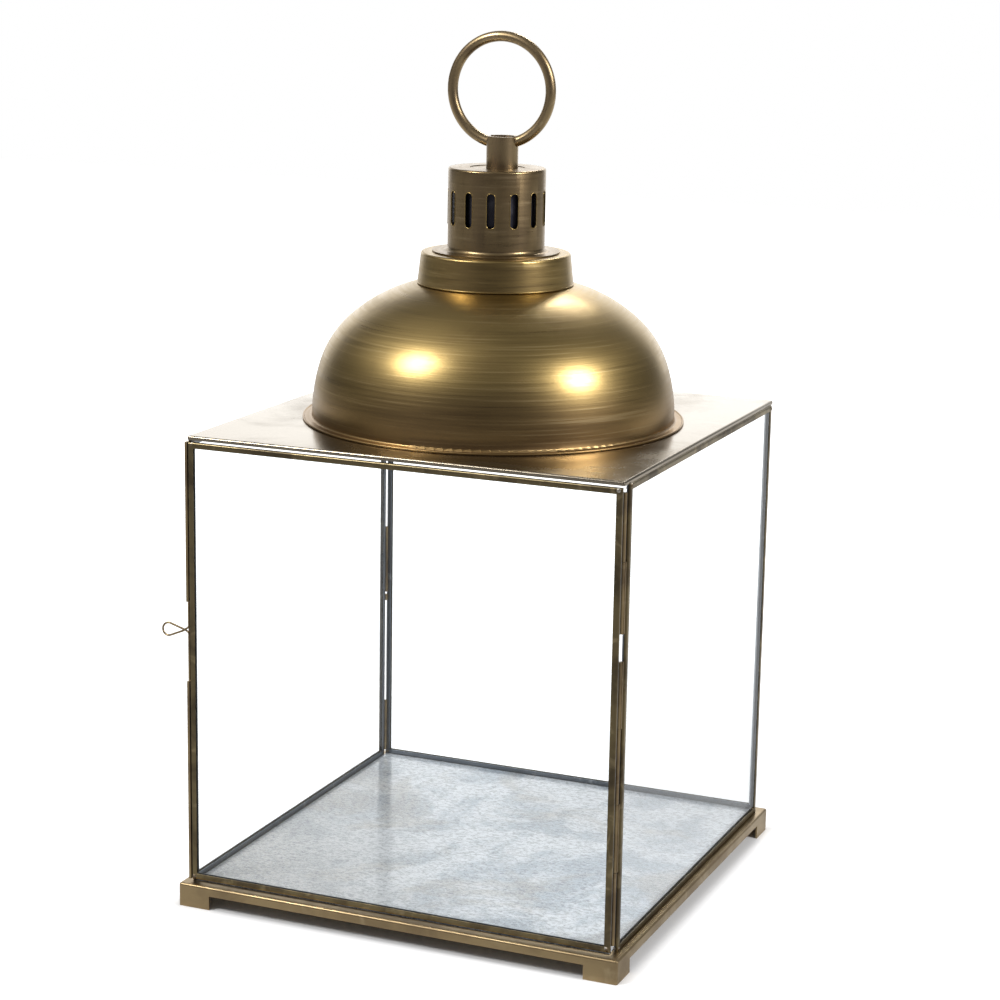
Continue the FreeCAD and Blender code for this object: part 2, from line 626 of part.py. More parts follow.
def vent_chimney(z0):
    """Flanged tube with a closed top, sunk a little round the stem, and a ring of slots."""
    flange_top = z0 + CHIMNEY_SHEET
    top = z0 + CHIMNEY_HEIGHT
    fillet = CHIMNEY_FLANGE_FILLET
    fillet_mid = fillet * (1 - math.sqrt(0.5))
    edge = CHIMNEY_TOP_RADIUS
    edge_mid = edge * (1 - math.sqrt(0.5))
    bore = CHIMNEY_RADIUS - CHIMNEY_SHEET
    body = spun([
        V(bore, 0, z0),
        V(CHIMNEY_FLANGE_RADIUS, 0, z0),
        V(CHIMNEY_FLANGE_RADIUS, 0, flange_top),
        V(CHIMNEY_RADIUS + fillet, 0, flange_top),
        (V(CHIMNEY_RADIUS + fillet_mid, 0, flange_top + fillet_mid),
         V(CHIMNEY_RADIUS, 0, flange_top + fillet)),
        V(CHIMNEY_RADIUS, 0, top - edge),
        (V(CHIMNEY_RADIUS - edge_mid, 0, top - edge_mid), V(CHIMNEY_RADIUS - edge, 0, top)),
        V(CAP_RECESS_RADIUS, 0, top),
        V(CAP_RECESS_RADIUS, 0, top - CAP_RECESS_DEPTH),
        V(0, 0, top - CAP_RECESS_DEPTH),
        V(0, 0, top - CHIMNEY_SHEET),
        V(bore, 0, top - CHIMNEY_SHEET),
    ])
    cutters = []
    for number in range(SLOT_COUNT):
        cutter = slot_tool(flange_top + SLOT_BOTTOM_ABOVE_FLANGE)
        cutter.rotate(V(0, 0, 0), Z_AXIS, SLOT_START_ANGLE + number * 360 / SLOT_COUNT)
        cutters.append(cutter)
    return body.cut(Part.makeCompound(cutters))


def chimney_baffle(chimney_z):
    """Sleeve that hides the inside of the chimney behind the slots, open at the top."""
    seat = chimney_z - COLLAR_SHEET
    top = chimney_z + CHIMNEY_HEIGHT - CHIMNEY_SHEET - BAFFLE_TOP_CLEARANCE
    outer = CHIMNEY_RADIUS - CHIMNEY_SHEET - BAFFLE_SIDE_CLEARANCE
    flange = COLLAR_HOLE_RADIUS + BAFFLE_FLANGE_OVERLAP
    return spun([
        V(outer - BAFFLE_SHEET, 0, seat - BAFFLE_SHEET),
        V(flange, 0, seat - BAFFLE_SHEET),
        V(flange, 0, seat),
        V(outer, 0, seat),
        V(outer, 0, top),
        V(outer - BAFFLE_SHEET, 0, top),
    ])


def ring_torus(rod_diameter, stem_top):
    """Ring of the given rod, standing in the XZ plane with its lowest point inside the stem."""
    centre_z = stem_top - RING_DROP_INTO_STEM + RING_CENTRE_RADIUS
    return Part.makeTorus(RING_CENTRE_RADIUS, rod_diameter / 2, V(RING_OFFSET_X, 0, centre_z), Y_AXIS)


def ring_stem(z0):
    """Short tube, notched on both sides for the ring."""
    stem_top = z0 + STEM_HEIGHT
    stem = tube(STEM_OFFSET_X, 0, z0, stem_top, STEM_DIAMETER, STEM_BORE)
    seat_diameter = RING_ROD_DIAMETER + 2 * RING_SEAT_CLEARANCE
    seat = ring_torus(seat_diameter, stem_top)
    side = STEM_OFFSET_X + STEM_DIAMETER
    entry = box(-side, -seat_diameter / 2, stem_top - RING_DROP_INTO_STEM + RING_ROD_DIAMETER / 2,
                side, seat_diameter / 2, stem_top + RING_ROD_DIAMETER)
    return stem.cut(seat).cut(entry)


def write_parts(parts):
    """One STEP file per named piece."""
    os.makedirs("parts", exist_ok=True)
    for name, shape in parts.items():
        shape.exportStep("parts/" + name + ".step")


def main():
    """Build every piece in place and write it."""
    parts = {"base_plinth": base_plinth(), "floor_plate": floor_plate()}

    walls = {
        "door": (door_panel(), ("door_pull_stile", "door_hinge_stile")),
        "right": (right_panel(), ("right_front_stile", "right_rear_stile")),
        "left": (left_panel(), ("left_front_stile", "left_rear_stile")),
        "back": (back_panel(), ("back_left_stile", "back_right_stile")),
    }
    for wall, (pieces, stile_names) in walls.items():
        names = (wall + "_bottom_rail", wall + "_top_rail") + stile_names + (wall + "_glass",)
        parts.update(zip(names, pieces))

    parts["door_hinge_knuckles"] = door_hinge_knuckles(parts["door_hinge_stile"])
    parts["right_hinge_knuckles"] = right_hinge_knuckles(parts["right_front_stile"])
    parts["lower_hinge_pin"] = hinge_pin(KNUCKLE_BOTTOM_Z, MIDDLE_WALL_KNUCKLE_TOP_Z)
    parts["upper_hinge_pin"] = hinge_pin(UPPER_WALL_KNUCKLE_BOTTOM_Z, UPPER_DOOR_KNUCKLE_TOP_Z)
    parts["left_jamb_strip"] = left_jamb_strip(parts["left_front_stile"])
    parts["door_pull_wire"] = door_pull_wire()
    parts["rear_left_corner_tubes"] = rear_corner_tubes(
        -1, parts["left_rear_stile"], parts["back_left_stile"])
    parts["rear_right_corner_tubes"] = rear_corner_tubes(
        1, parts["right_rear_stile"], parts["back_right_stile"])

    chimney_z = collar_bottom_z() + COLLAR_HEIGHT
    stem_z = chimney_z + CHIMNEY_HEIGHT - CAP_RECESS_DEPTH
    parts["roof_plate"] = roof_plate()
    parts["dome"] = dome()
    parts["neck_collar"] = neck_collar()
    parts["vent_chimney"] = vent_chimney(chimney_z)
    parts["chimney_baffle"] = chimney_baffle(chimney_z)
    parts["ring_stem"] = ring_stem(stem_z)
    parts["carry_ring"] = ring_torus(RING_ROD_DIAMETER, stem_z + STEM_HEIGHT)

    write_parts(parts)


main()
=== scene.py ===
"""Looks of a square brass candle lantern with a glass door, a spun dome and a slotted chimney."""
import logging
import math
from dataclasses import dataclass, field
from enum import Enum
from typing import Any, Iterable

import bmesh
import bpy
from mathutils import Matrix, Vector


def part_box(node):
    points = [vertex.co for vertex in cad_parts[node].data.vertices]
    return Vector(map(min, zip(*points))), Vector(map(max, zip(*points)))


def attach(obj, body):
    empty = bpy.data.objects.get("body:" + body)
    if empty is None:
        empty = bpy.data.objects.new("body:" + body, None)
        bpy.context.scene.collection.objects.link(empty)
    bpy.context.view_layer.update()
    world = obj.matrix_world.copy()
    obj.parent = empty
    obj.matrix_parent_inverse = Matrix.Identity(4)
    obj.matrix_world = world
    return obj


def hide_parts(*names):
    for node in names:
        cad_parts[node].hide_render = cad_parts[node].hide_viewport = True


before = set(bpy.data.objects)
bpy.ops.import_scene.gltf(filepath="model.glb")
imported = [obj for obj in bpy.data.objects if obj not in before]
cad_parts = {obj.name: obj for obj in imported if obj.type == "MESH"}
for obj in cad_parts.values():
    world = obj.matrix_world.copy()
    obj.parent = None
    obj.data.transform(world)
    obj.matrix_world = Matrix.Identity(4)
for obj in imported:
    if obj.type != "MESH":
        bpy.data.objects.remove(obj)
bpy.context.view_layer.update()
LOG = logging.getLogger("lantern")

Colour = tuple[float, float, float]
Band = tuple[float, float]
DOUBLES_DISTANCE = 1e-6
SMOOTH_DEGREES = 32.0


class Body(Enum):
    """The two bodies of the lantern."""

    LANTERN = "lantern_body"
    DOOR = "door"


class Slot(Enum):
    """Material slots of the record."""

    AGED_BRASS = "aged_brass"
    SPUN_BRASS = "spun_brass"
    CLEAR_GLASS = "clear_glass"
    ZINC = "patinated_zinc"
    PIN = "steel_pin"
    # the chimney's baffle: its very dark colour is painted shade inside the chimney
    BLACKENED = "blackened_sheet"


# ---- shader maths ----


class Value:
    """A shader socket whose arithmetic adds Math nodes."""

    def __init__(self, graph: "Graph", socket: bpy.types.NodeSocket) -> None:
        """Wrap a socket of a graph."""
        self.graph = graph
        self.socket = socket

    def _math(self, operation: str, *others: Any, flip: bool = False) -> "Value":
        """Add one Math node.

        Args:
            operation: the node's operation.
            others: the other operands, numbers or values.
            flip: whether this value is the second operand.

        Returns:
            The result as a value.
        """
        operands = [self, *others]
        if flip:
            operands.reverse()
        sockets = dict(enumerate(operands))
        return self.graph.add("ShaderNodeMath", {"operation": operation}, sockets)["Value"]

    def __add__(self, other: Any) -> "Value":
        """Sum."""
        return self._math("ADD", other)

    def __radd__(self, other: Any) -> "Value":
        """Reflected sum."""
        return self._math("ADD", other, flip=True)

    def __sub__(self, other: Any) -> "Value":
        """Difference."""
        return self._math("SUBTRACT", other)

    def __rsub__(self, other: Any) -> "Value":
        """Reflected difference."""
        return self._math("SUBTRACT", other, flip=True)

    def __mul__(self, other: Any) -> "Value":
        """Product."""
        return self._math("MULTIPLY", other)

    def __rmul__(self, other: Any) -> "Value":
        """Reflected product."""
        return self._math("MULTIPLY", other, flip=True)

    def __truediv__(self, other: Any) -> "Value":
        """Quotient."""
        return self._math("DIVIDE", other)

    def __rtruediv__(self, other: Any) -> "Value":
        """Reflected quotient."""
        return self._math("DIVIDE", other, flip=True)

    def __pow__(self, other: Any) -> "Value":
        """Power."""
        return self._math("POWER", other)

    def __abs__(self) -> "Value":
        """Absolute value."""
        return self._math("ABSOLUTE")

    def least(self, other: Any) -> "Value":
        """Smaller of two values."""
        return self._math("MINIMUM", other)

    def most(self, other: Any) -> "Value":
        """Larger of two values."""
        return self._math("MAXIMUM", other)

    def ramp(self, low: float, high: float, start: float = 0.0, end: float = 1.0) -> "Value":
        """Smooth step of this value.

        Args:
            low: where the step begins.
            high: where the step ends.
            start: result at and below low.
            end: result at and above high.

        Returns:
            The stepped value.
        """
        return self.graph.add(
            "ShaderNodeMapRange",
            {"interpolation_type": "SMOOTHSTEP"},
            {"Value": self, "From Min": low, "From Max": high, "To Min": start, "To Max": end},
        )["Result"]

    def fall(self, low: float, high: float) -> "Value":
        """Smooth step down of this value, from 1 at low to 0 at high."""
        return self.ramp(low, high, 1.0, 0.0)


class Step:
    """One node of a graph, read by the names of its outputs."""

    def __init__(self, graph: "Graph", node: bpy.types.Node) -> None:
        """Wrap a node of a graph."""
        self.graph = graph
        self.node = node

    def __getitem__(self, name: str) -> Value:
        """Output of the node by its name."""
        return Value(self.graph, next(s for s in self.node.outputs if s.name == name and s.enabled))


class Graph:
    """A node tree that is filled through one method."""

    def __init__(self, tree: bpy.types.NodeTree) -> None:
        """Empty the tree and keep it."""
        self.tree = tree
        tree.nodes.clear()

    @classmethod
    def material(cls, name: str) -> tuple[bpy.types.Material, "Graph"]:
        """New material and its graph."""
        made = bpy.data.materials.new(name)
        made.use_nodes = True
        return made, cls(made.node_tree)

    def add(self, kind: str, settings: dict[str, Any], sockets: dict[Any, Any]) -> Step:
        """Add a node.

        Args:
            kind: the node's type.
            settings: properties that are set first.
            sockets: inputs by name or index, as values, numbers or colours.

        Returns:
            The node's outputs.
        """
        node = self.tree.nodes.new(kind)
        for key, value in settings.items():
            setattr(node, key, value)
        for key, value in sockets.items():
            if isinstance(key, int):
                socket = node.inputs[key]
            else:
                socket = next(s for s in node.inputs if s.name == key and s.enabled)
            if isinstance(value, Value):
                self.tree.links.new(value.socket, socket)
            elif isinstance(value, tuple) and len(value) == 3 and socket.type == "RGBA":
                socket.default_value = (*value, 1.0)
            else:
                socket.default_value = value
        return Step(self, node)

    def place(self) -> Value:
        """Object coordinates, in metres."""
        return self.add("ShaderNodeTexCoord", {}, {})["Object"]

    def axes(self, vector: Value) -> tuple[Value, Value, Value]:
        """The three parts of a vector."""
        split = self.add("ShaderNodeSeparateXYZ", {}, {"Vector": vector})
        return split["X"], split["Y"], split["Z"]

    def joined(self, x: Any, y: Any, z: Any) -> Value:
        """A vector from three values."""
        return self.add("ShaderNodeCombineXYZ", {}, {"X": x, "Y": y, "Z": z})["Vector"]

    def noise(self, vector: Value, scale: float, detail: float = 3.0, rough: float = 0.55,
              warp: float = 0.0) -> Value:
        """Noise of a vector, from 0 to 1.

        Args:
            vector: where it is read.
            scale: cells per unit.
            detail: octaves.
            rough: weight of the finer octaves.
            warp: distortion.

        Returns:
            The noise value.
        """
        sockets = {"Vector": vector, "Scale": scale, "Detail": detail, "Roughness": rough}
        return self.add("ShaderNodeTexNoise", {}, {**sockets, "Distortion": warp})["Fac"]

    def blend(self, mask: Value, below: Any, above: Any) -> Value:
        """Colour below where the mask is 0 and above where it is 1."""
        sockets = {"Factor": mask, "A": below, "B": above}
        return self.add("ShaderNodeMix", {"data_type": "RGBA"}, sockets)["Result"]

    def lit(self, strength: Value) -> Value:
        """White light of a strength."""
        sockets = {"Color": (1.0, 1.0, 1.0), "Strength": strength}
        return self.add("ShaderNodeEmission", {}, sockets)["Emission"]

    def bump(self, height: Value, distance: float, strength: float = 1.0) -> Value:
        """Normal of a height field, whose unit of height is the distance."""
        return self.add(
            "ShaderNodeBump", {}, {"Height": height, "Distance": distance, "Strength": strength}
        )["Normal"]

    def metal(self, colour: Value, rough: Value, normal: Value) -> None:
        """Bare metal of a colour, roughness and normal, linked to the output."""
        inputs = {"Base Color": colour, "Metallic": 1.0, "Roughness": rough, "Normal": normal}
        self.surface(self.add("ShaderNodeBsdfPrincipled", {}, inputs)["BSDF"])

    def surface(self, shader: Value) -> None:
        """Link a shader to the output."""
        self.add("ShaderNodeOutputMaterial", {}, {"Surface": shader})


# ---- finishes ----


@dataclass(frozen=True)
class AgedBrass:
    """Satin brass sheet and strip, darkened in patches and rubbed bright in others."""

    name: str = "aged_brass"
    metal: Colour = (0.35, 0.26, 0.14)
    rubbed: Colour = (0.54, 0.43, 0.26)
    tarnish: Colour = (0.13, 0.09, 0.06)
    roughness: float = 0.33
    patch_scale: float = 34.0
    patch_share: float = 0.6
    patch_band: Band = (0.4, 0.68)
    patch_rough: float = 0.12
    rub_scale_ratio: float = 2.7
    rub_share: float = 0.45
    rub_band: Band = (0.55, 0.75)
    grain_scale: float = 900.0
    grain_rough: float = 0.12
    relief: float = 0.00004

    def patches(self, graph: Graph, place: Value) -> Value:
        """Mask of the tarnished patches."""
        cells = graph.noise(place, self.patch_scale, detail=4.0, rough=0.6, warp=0.4)
        return cells.ramp(*self.patch_band)

    def grain(self, graph: Graph, place: Value) -> Value:
        """Fine grain of the surface, from 0 to 1."""
        return graph.noise(place, self.grain_scale, detail=2.0, rough=0.6)

    def coloured(self, graph: Graph, place: Value, patches: Value) -> Value:
        """Colour of the brass from its patches and rubbed places."""
        scale = self.patch_scale * self.rub_scale_ratio
        rubs = graph.noise(place, scale, detail=3.0, rough=0.5, warp=0.8).ramp(*self.rub_band)
        colour = graph.blend(patches * self.patch_share, self.metal, self.tarnish)
        return graph.blend(rubs * self.rub_share, colour, self.rubbed)

    def material(self) -> bpy.types.Material:
        """Build the material."""
        made, graph = Graph.material(self.name)
        place = graph.place()
        patches, grain = self.patches(graph, place), self.grain(graph, place)
        rough = self.roughness + patches * self.patch_rough + (grain - 0.5) * self.grain_rough
        normal = graph.bump(grain * 0.7 + patches * 0.3, self.relief, strength=0.5)
        graph.metal(self.coloured(graph, place, patches), rough, normal)
        return made


@dataclass(frozen=True)
class StripBrass(AgedBrass):
    """Brass strip whose inner faces are painted grey-blue with pale streaks: a painted reflection of
    the white surroundings.
    """

    name: str = "strip_brass"
    metal: Colour = (0.19, 0.15, 0.08)
    rubbed: Colour = (0.46, 0.37, 0.21)
    tarnish: Colour = (0.04, 0.03, 0.025)
    patch_band: Band = (0.42, 0.66)
    grain_rough: float = 0.16
    relief: float = 0.00006
    # painted reflection of the white surroundings on the inner faces
    inner_reflection_grey: Colour = (0.21, 0.225, 0.245)
    inner_reflection_bright: Colour = (0.62, 0.64, 0.67)
    bright_band: Band = (0.58, 0.72)
    bright_share: float = 0.6
    inner_reach: float = 0.1434
    inner_blur: float = 0.0003
    streak_scale: float = 60.0
    streak_rough: float = 0.12

    def material(self) -> bpy.types.Material:
        """Build the material."""
        made, graph = Graph.material(self.name)
        place = graph.place()
        x, y, _ = graph.axes(place)
        reach = abs(x).most(abs(y))
        inner = reach.fall(self.inner_reach - self.inner_blur, self.inner_reach + self.inner_blur)
        patches, grain = self.patches(graph, place), self.grain(graph, place)
        streaks = graph.noise(place, self.streak_scale, detail=5.0, rough=0.7, warp=0.3)
        # painted reflection: grey-blue inner faces with pale streaks
        shares = streaks.ramp(*self.bright_band) * self.bright_share
        inside = graph.blend(shares, self.inner_reflection_grey, self.inner_reflection_bright)
        colour = graph.blend(inner, self.coloured(graph, place, patches), inside)
        rough = (
            self.roughness + patches * self.patch_rough + (grain - 0.5) * self.grain_rough
            + (streaks - 0.5) * self.streak_rough
        )
        normal = graph.bump(grain * 0.5 + streaks * 0.5, self.relief, strength=0.6)
        graph.metal(colour, rough, normal)
        return made


@dataclass(frozen=True)
class SpunBrass:
    """Brass spun on a lathe: fine rings about the axis, with soft stains and worn lines, and painted
    reflection of the brown roof, browner towards the bottom.
    """

    name: str = "spun_brass"
    metal: Colour = (0.345, 0.245, 0.095)
    pale_ring: Colour = (0.58, 0.45, 0.24)
    dark_ring: Colour = (0.16, 0.11, 0.05)
    stain: Colour = (0.19, 0.125, 0.055)
    # painted reflection: the brown of the roof, seen in the dome near its lower edge
    painted_reflection_brown: Colour = (0.27, 0.165, 0.07)
    roughness: float = 0.33
    rings_per_metre: float = 540.0
    bands_per_metre: float = 49.5
    ring_waver: float = 1.0
    ring_depth: float = 0.00011
    pale_band: Band = (0.54, 0.72)
    pale_share: float = 0.36
    dark_band: Band = (0.3, 0.46)
    dark_share: float = 0.26
    stain_scale: float = 26.0
    stain_share: float = 0.35
    scuff_scale: float = 160.0
    scuff_share: float = 0.22
    # height, fade and share of the painted reflection of the roof
    painted_reflection_height: float = 0.309
    painted_reflection_fade: float = 0.04
    painted_reflection_share: float = 0.75

    def material(self) -> bpy.types.Material:
        """Build the material."""
        made, graph = Graph.material(self.name)
        place = graph.place()
        x, y, z = graph.axes(place)
        radius = (x * x + y * y) ** 0.5
        east, north = x / radius * self.ring_waver, y / radius * self.ring_waver
        outward = radius - z
        ring_place = graph.joined(outward * self.rings_per_metre, east, north)
        band_place = graph.joined(outward * self.bands_per_metre, east * 0.5, north * 0.5)
        rings = graph.noise(ring_place, 1.0, detail=4.0, rough=0.65)
        wide = graph.noise(band_place, 1.0, detail=3.0, rough=0.6)
        stains = graph.noise(place, self.stain_scale, detail=4.0, rough=0.6, warp=0.5)
        stains = stains.ramp(0.48, 0.72)
        scuffs = graph.noise(place, self.scuff_scale, detail=3.0, rough=0.7, warp=1.5)
        scuffs = scuffs.ramp(0.7, 0.78)
        # painted reflection of the roof: browner towards the bottom of the dome
        painted_reflection_mask = z.fall(self.painted_reflection_height, self.painted_reflection_height + self.painted_reflection_fade)
        colour = graph.blend(stains * self.stain_share, self.metal, self.stain)
        colour = graph.blend(painted_reflection_mask * self.painted_reflection_share, colour, self.painted_reflection_brown)
        colour = graph.blend(rings.ramp(*self.pale_band) * self.pale_share, colour, self.pale_ring)
        colour = graph.blend(rings.fall(*self.dark_band) * self.dark_share, colour, self.dark_ring)
        colour = graph.blend(scuffs * self.scuff_share, colour, self.pale_ring)
        rough = self.roughness + (wide - 0.5) * 0.14 + (rings - 0.5) * 0.26 + stains * 0.04
        normal = graph.bump(rings * 0.7 + wide * 0.3, self.ring_depth, strength=0.6)
        graph.metal(colour, rough, normal)
        return made


@dataclass(frozen=True)
class ClearGlass:
    """Window glass with a trace of dust and wiping marks."""

    name: str = "clear_glass"
    tint: Colour = (0.992, 0.998, 0.998)
    dust: Colour = (0.9, 0.92, 0.94)
    roughness: float = 0.015
    wipe_rough: float = 0.02
    gloss: float = 0.7
    head_on_mirror: float = 0.04
    edge_power: float = 5.0
    wipes_across: float = 9.0
    wipes_upward: float = 3.0
    wipe_share: float = 0.003
    speck_scale: float = 420.0
    speck_share: float = 0.01

    def material(self) -> bpy.types.Material:
        """Build the material."""
        made, graph = Graph.material(self.name)
        place = graph.place()
        x, y, z = graph.axes(place)
        stretched = graph.joined(x * self.wipes_across, y * self.wipes_across, z * self.wipes_upward)
        wipes = graph.noise(stretched, 1.6, detail=4.0, rough=0.6, warp=1.2).ramp(0.5, 0.8)
        specks = graph.noise(place, self.speck_scale, detail=2.0, rough=0.5).ramp(0.76, 0.82)
        clear = graph.add("ShaderNodeBsdfTransparent", {}, {"Color": self.tint})["BSDF"]
        rough = self.roughness + wipes * self.wipe_rough
        skin = graph.add(
            "ShaderNodeBsdfPrincipled", {},
            {"Base Color": self.dust, "Roughness": rough, "Metallic": 1.0},
        )["BSDF"]
        facing = graph.add("ShaderNodeLayerWeight", {}, {"Blend": 0.5})["Facing"]
        mirror = facing ** self.edge_power * (1.0 - self.head_on_mirror) + self.head_on_mirror
        amount = mirror * self.gloss + wipes * self.wipe_share + specks * self.speck_share
        sockets = {0: amount.least(1.0), 1: clear, 2: skin}
        graph.surface(graph.add("ShaderNodeMixShader", {}, sockets)["Shader"])
        return made


@dataclass(frozen=True)
class PatinatedZinc:
    """Crinkled, mottled sheet under a thin gloss: whitish grey with bluish and beige clouds, and
    painted shade, beige and darker towards the front-left.
    """

    name: str = "patinated_zinc"
    pale: Colour = (0.66, 0.70, 0.745)
    blue_grey: Colour = (0.22, 0.29, 0.37)
    beige: Colour = (0.34, 0.31, 0.27)
    dark: Colour = (0.10, 0.12, 0.15)
    cloud_scale: float = 19.0
    cloud_share: float = 0.7
    tone_scale: float = 11.0
    tone_share: float = 0.6
    # share and reach of the painted shade towards the front-left
    painted_shade_share: float = 0.7
    painted_shade_reach: float = 0.26
    crinkle_scale: float = 240.0
    crinkle_stretch: float = 1.7
    crinkle_share: float = 0.6
    fine_scale: float = 620.0
    fine_share: float = 0.5
    relief: float = 0.0005
    roughness: float = 0.4
    metallic: float = 0.15
    coat: float = 0.8
    coat_roughness: float = 0.13

    def material(self) -> bpy.types.Material:
        """Build the material."""
        made, graph = Graph.material(self.name)
        place = graph.place()
        x, y, z = graph.axes(place)
        clouds = graph.noise(place, self.cloud_scale, detail=6.0, rough=0.66, warp=0.5)
        tones = graph.noise(place, self.tone_scale, detail=5.0, rough=0.62, warp=0.8)
        stretched = graph.joined(x, y * self.crinkle_stretch, z)
        crinkle = graph.noise(stretched, self.crinkle_scale, detail=6.0, rough=0.75, warp=0.7)
        fine = graph.noise(place, self.fine_scale, detail=3.0, rough=0.7)
        # painted shade: beige and darker towards the front-left of the plate
        painted_shade = (x * 1.2 + y * 0.8).fall(-self.painted_shade_reach, 0.0)
        colour = graph.blend(clouds.ramp(0.44, 0.62) * self.cloud_share, self.pale, self.blue_grey)
        colour = graph.blend(tones.ramp(0.5, 0.64) * self.tone_share, colour, self.beige)
        colour = graph.blend(painted_shade * self.painted_shade_share, colour, self.beige)
        colour = graph.blend(crinkle.ramp(0.45, 0.58) * self.crinkle_share, colour, self.dark)
        colour = graph.blend(fine.ramp(0.5, 0.64) * self.fine_share, colour, self.pale)
        sockets = {
            "Base Color": colour,
            "Metallic": self.metallic,
            "Roughness": self.roughness + clouds * 0.15 + (crinkle - 0.5) * 0.2,
            "Normal": graph.bump(crinkle * 0.75 + fine * 0.25, self.relief, strength=0.7),
            "Coat Weight": self.coat,
            "Coat Roughness": self.coat_roughness,
        }
        graph.surface(graph.add("ShaderNodeBsdfPrincipled", {}, sockets)["BSDF"])
        return made


@dataclass(frozen=True)
class Solder:
    """Soft solder, rubbed over with the brass's patina."""

    name: str = "solder"
    bright: Colour = (0.50, 0.47, 0.41)
    brown: Colour = (0.17, 0.125, 0.075)
    roughness: float = 0.32
    film_scale: float = 260.0
    pit_scale: float = 1400.0
    relief: float = 0.00006

    def material(self) -> bpy.types.Material:
        """Build the material."""
        made, graph = Graph.material(self.name)
        place = graph.place()
        film = graph.noise(place, self.film_scale, detail=4.0, rough=0.65, warp=0.8).ramp(0.34, 0.58)
        pits = graph.noise(place, self.pit_scale, detail=2.0, rough=0.6)
        colour = graph.blend(film, self.bright, self.brown)
        rough = self.roughness + film * 0.15 + (pits - 0.5) * 0.15
        graph.metal(colour, rough, graph.bump(pits, self.relief, strength=0.6))
        return made


@dataclass(frozen=True)
class DarkMetal:
    """Darkened wire, or, in its very dark form, a sheet whose colour is painted shade."""

    name: str = "dark_wire"
    metal: Colour = (0.14, 0.115, 0.08)
    rubbed: Colour = (0.32, 0.26, 0.18)
    wear_scale: float = 300.0
    wear_band: Band = (0.5, 0.7)
    wear_rough: float = 0.15
    roughness: float = 0.36
    relief: float = 0.00003

    def material(self) -> bpy.types.Material:
        """Build the material."""
        made, graph = Graph.material(self.name)
        wear = graph.noise(graph.place(), self.wear_scale, detail=3.0, rough=0.6, warp=0.5)
        colour = graph.blend(wear.ramp(*self.wear_band), self.metal, self.rubbed)
        rough = self.roughness + wear * self.wear_rough
        graph.metal(colour, rough, graph.bump(wear, self.relief, strength=0.5))
        return made


@dataclass(frozen=True)
class StudioFloor:
    """White studio floor that keeps the lantern's shadow near its base."""

    azimuth: float
    name: str = "studio_floor"
    white: Colour = (0.9, 0.9, 0.905)
    glow: float = 0.5
    far_glow: float = 0.6
    far_band: Band = (0.3, 1.2)
    shadow_start: float = 0.004
    shadow_reach: float = 0.012
    base_half: float = 0.15
    base_fade: float = 0.01
    mirror_band: Band = (-0.6, 0.5)
    mirror_levels: Band = (0.5, 1.0)

    def material(self) -> bpy.types.Material:
        """Build the material."""
        made, graph = Graph.material(self.name)
        paths = graph.add("ShaderNodeLightPath", {}, {})
        x, y, _ = graph.axes(graph.place())
        turn = math.radians(self.azimuth)
        reach = abs(x).most(abs(y))
        shadow = (self.base_half - self.shadow_start, self.base_half + self.shadow_reach)
        level = reach.ramp(*shadow) * self.glow + reach.ramp(*self.far_band) * self.far_glow
        seen = paths["Is Camera Ray"].most(paths["Is Transmission Ray"])
        matt = graph.add("ShaderNodeBsdfDiffuse", {}, {"Color": self.white})["BSDF"]
        shown = graph.add("ShaderNodeAddShader", {}, {0: matt, 1: graph.lit(seen * level)})["Shader"]
        depth = y * math.cos(turn) - x * math.sin(turn)
        behind = depth.ramp(*self.mirror_band, *self.mirror_levels)
        mix = paths["Is Glossy Ray"] * reach.ramp(self.base_half, self.base_half + self.base_fade)
        sockets = {0: mix, 1: shown, 2: graph.lit(behind)}
        graph.surface(graph.add("ShaderNodeMixShader", {}, sockets)["Shader"])
        return made


# ---- meshes ----


def new_object(name: str, mesh: bpy.types.Mesh) -> bpy.types.Object:
    """Object in the scene's collection, at the origin."""
    made = bpy.data.objects.new(name, mesh)
    bpy.context.scene.collection.objects.link(made)
    return made


def smooth_by_angle(mesh: bpy.types.Mesh, degrees: float) -> None:
    """Shade a mesh smooth, sharp only where two faces meet at more than an angle.

    Args:
        mesh: the mesh, with its doubles merged.
        degrees: largest smooth angle.
    """
    work = bmesh.new()
    work.from_mesh(mesh)
    limit = math.radians(degrees)
    for face in work.faces:
        face.smooth = True
    for edge in work.edges:
        edge.smooth = len(edge.link_faces) == 2 and edge.calc_face_angle(0.0) < limit
    work.to_mesh(mesh)
    work.free()


def merged_copy(node: str, name: str) -> bpy.types.Object:
    """Copy of a CAD node's mesh with its doubles merged and its round faces smooth.

    Args:
        node: the CAD node.
        name: name of the copy.

    Returns:
        The new object, at the origin.
    """
    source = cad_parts[node]
    mesh = bpy.data.meshes.new(name)
    work = bmesh.new()
    work.from_mesh(source.data)
    bmesh.ops.remove_doubles(work, verts=work.verts, dist=DOUBLES_DISTANCE)
    work.to_mesh(mesh)
    work.free()
    smooth_by_angle(mesh, SMOOTH_DEGREES)
    return new_object(name, mesh)


def paint(piece: bpy.types.Object, material: bpy.types.Material) -> None:
    """Give a piece one material."""
    piece.data.materials.clear()
    piece.data.materials.append(material)


def middle(node: str) -> Vector:
    """Middle of a CAD node's box."""
    low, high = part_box(node)
    return (low + high) / 2


